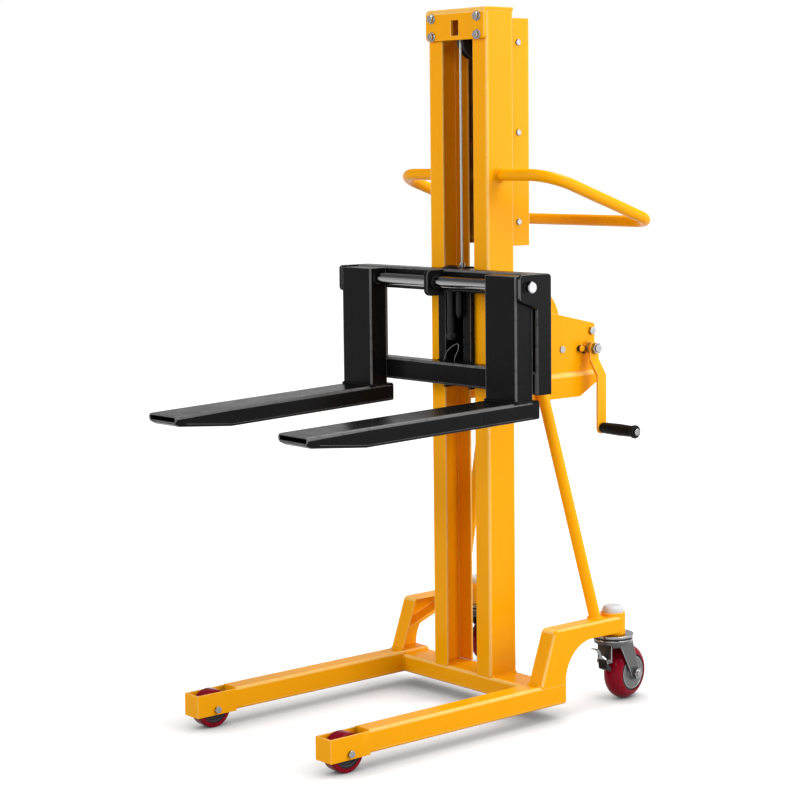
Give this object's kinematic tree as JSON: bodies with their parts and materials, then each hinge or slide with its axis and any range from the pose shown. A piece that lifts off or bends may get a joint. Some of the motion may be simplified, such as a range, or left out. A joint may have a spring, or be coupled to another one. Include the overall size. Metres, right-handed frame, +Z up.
{
  "type": "hand winch pallet stacker",
  "caption": "Walk-behind pallet stacker with a hand winch, rope-lifted fork carriage on a channel mast, straddle legs with front rollers, swivel casters and a push handle.",
  "frame": {"origin": "centre of the bounding box's bottom, on the floor", "axes": "+Z up, forks point to -Y, crank on the +X side"},
  "size_m": [0.634, 1.0277, 1.5775],
  "materials": {
    "yellow_paint": "gloss",
    "black_paint": "satin",
    "zinc": "zinc plated",
    "steel": "machined",
    "hard_chrome": "polished",
    "rope_wire": "stranded",
    "red_polyurethane": "satin",
    "roller_core": "satin",
    "wheel_core": "satin",
    "white_plastic": "gloss",
    "black_plastic": "matte"
  },
  "bodies": {
    "chassis": {"leg_left": "yellow_paint", "leg_right": "yellow_paint", "roller_axles": "zinc", "gooseneck_left": "yellow_paint", "gooseneck_right": "yellow_paint", "caster_stems": "zinc", "boss_caps": "white_plastic", "cross_beam": "yellow_paint", "mast_upright_left": "yellow_paint", "mast_upright_right": "yellow_paint", "mast_cap": "yellow_paint", "mast_fasteners": "zinc", "top_pulley_axle": "zinc", "rear_cover": "yellow_paint", "push_handle": "yellow_paint", "brace_left": "yellow_paint", "brace_right": "yellow_paint", "winch_shelf": "yellow_paint", "winch_frame": "yellow_paint", "winch_tie_bolts": "zinc", "gear_guard": "yellow_paint", "ratchet_wheel": "steel", "lift_rope_front": "rope_wire", "lift_rope_rear": "rope_wire"},
    "carriage": {"carriage_upper_bar": "black_paint", "carriage_lower_bar": "black_paint", "carriage_end_plate_left": "black_paint", "carriage_end_plate_right": "black_paint", "fork_shaft": "hard_chrome", "carriage_core": "black_paint", "guide_axles": "zinc", "rope_anchor": "zinc", "anchor_rods": "zinc"},
    "guides_upper": {"guide_rollers_upper": "steel"},
    "guides_lower": {"guide_rollers_lower": "steel"},
    "pulley": {"top_pulley": "steel"},
    "drum": {"winch_drum": "steel", "rope_winding": "rope_wire"},
    "pinion": {"pinion_shaft": "steel"},
    "crank": {"crank_shaft": "steel", "crank_arm": "yellow_paint", "crank_fasteners": "zinc"},
    "grip": {"crank_grip": "black_plastic"},
    "pawl": {"ratchet_pawl": "steel"},
    "fork_left": {"fork_left": "black_paint"},
    "roller_left": {"roller_tread_left": "red_polyurethane", "roller_hub_left": "roller_core"},
    "caster_left": {"caster_fork_left": "zinc", "caster_axle_left": "zinc"},
    "caster_wheel_left": {"caster_tread_left": "red_polyurethane", "caster_hub_left": "wheel_core"},
    "caster_brake_left": {"caster_brake_left": "zinc"},
    "fork_right": {"fork_right": "black_paint"},
    "roller_right": {"roller_tread_right": "red_polyurethane", "roller_hub_right": "roller_core"},
    "caster_right": {"caster_fork_right": "zinc", "caster_axle_right": "zinc"},
    "caster_wheel_right": {"caster_tread_right": "red_polyurethane", "caster_hub_right": "wheel_core"},
    "caster_brake_right": {"caster_brake_right": "zinc"}
  },
  "joints": [
    {"name": "roller_left_turn", "type": "hinge", "parent": "chassis", "child": "roller_left", "pos_m": [-0.233, -0.39936, 0.042], "axis": [1, 0, 0], "continuous": true},
    {"name": "caster_left_swivel", "type": "hinge", "parent": "chassis", "child": "caster_left", "pos_m": [-0.2292, 0.40114, 0.15], "axis": [0, 0, 1], "continuous": true},
    {"name": "caster_wheel_left_turn", "type": "hinge", "parent": "caster_left", "child": "caster_wheel_left", "pos_m": [-0.22294, 0.4457, 0.0625], "axis": [0.9903, -0.1392, 0], "continuous": true},
    {"name": "caster_brake_left_press", "type": "hinge", "parent": "caster_left", "child": "caster_brake_left", "pos_m": [-0.23442, 0.364, 0.1], "axis": [0.9903, -0.1392, 0], "range_deg": [0, 24]},
    {"name": "roller_right_turn", "type": "hinge", "parent": "chassis", "child": "roller_right", "pos_m": [0.233, -0.39936, 0.042], "axis": [1, 0, 0], "continuous": true},
    {"name": "caster_right_swivel", "type": "hinge", "parent": "chassis", "child": "caster_right", "pos_m": [0.2292, 0.40114, 0.15], "axis": [0, 0, 1], "continuous": true},
    {"name": "caster_wheel_right_turn", "type": "hinge", "parent": "caster_right", "child": "caster_wheel_right", "pos_m": [0.22294, 0.4457, 0.0625], "axis": [0.9903, 0.1392, 0], "continuous": true},
    {"name": "caster_brake_right_press", "type": "hinge", "parent": "caster_right", "child": "caster_brake_right", "pos_m": [0.23442, 0.364, 0.1], "axis": [0.9903, 0.1392, 0], "range_deg": [0, 24]},
    {"name": "carriage_lift", "type": "slide", "parent": "chassis", "child": "carriage", "axis": [0, 0, 1], "range_m": [-0.575, 0.44], "deforming": ["lift_rope_front"]},
    {"name": "fork_left_slide", "type": "slide", "parent": "carriage", "child": "fork_left", "axis": [1, 0, 0], "range_m": [-0.0025, 0.17]},
    {"name": "fork_right_slide", "type": "slide", "parent": "carriage", "child": "fork_right", "axis": [1, 0, 0], "range_m": [-0.17, 0.0025]},
    {"name": "upper_guides_turn", "type": "hinge", "parent": "carriage", "child": "guides_upper", "pos_m": [0, 0.18164, 0.955], "axis": [1, 0, 0], "range_deg": [-938, 719]},
    {"name": "lower_guides_turn", "type": "hinge", "parent": "carriage", "child": "guides_lower", "pos_m": [0, 0.18164, 0.775], "axis": [1, 0, 0], "range_deg": [-719, 938]},
    {"name": "pulley_turn", "type": "hinge", "parent": "chassis", "child": "pulley", "pos_m": [0, 0.19449, 1.512], "axis": [1, 0, 0], "range_deg": [-584, 762]},
    {"name": "drum_turn", "type": "hinge", "parent": "chassis", "child": "drum", "pos_m": [0, 0.30114, 0.86106], "axis": [1, 0, 0], "range_deg": [-523, 401]},
    {"name": "pinion_turn", "type": "hinge", "parent": "chassis", "child": "pinion", "pos_m": [0, 0.39865, 0.802], "axis": [1, 0, 0], "range_deg": [-1118, 1460]},
    {"name": "crank_turn", "type": "hinge", "parent": "chassis", "child": "crank", "pos_m": [0, 0.47815, 0.802], "axis": [1, 0, 0], "range_deg": [-3694, 2828]},
    {"name": "grip_turn", "type": "hinge", "parent": "crank", "child": "grip", "pos_m": [0.17, 0.47815, 0.617], "axis": [1, 0, 0], "continuous": true},
    {"name": "pawl_release", "type": "hinge", "parent": "chassis", "child": "pawl", "pos_m": [0.074, 0.45365, 0.801], "axis": [1, 0, 0], "range_deg": [-25, 0], "stiffness_Nm_per_rad": 0.1}
  ],
  "couplings": [
    {"joint": "drum_turn", "follows": "carriage_lift", "rad_per_m": 15.798},
    {"joint": "pinion_turn", "follows": "carriage_lift", "rad_per_m": -44.234},
    {"joint": "crank_turn", "follows": "carriage_lift", "rad_per_m": 112.06},
    {"joint": "pulley_turn", "follows": "carriage_lift", "rad_per_m": -23.068},
    {"joint": "upper_guides_turn", "follows": "carriage_lift", "rad_per_m": 28.409},
    {"joint": "lower_guides_turn", "follows": "carriage_lift", "rad_per_m": -28.409}
  ]
}
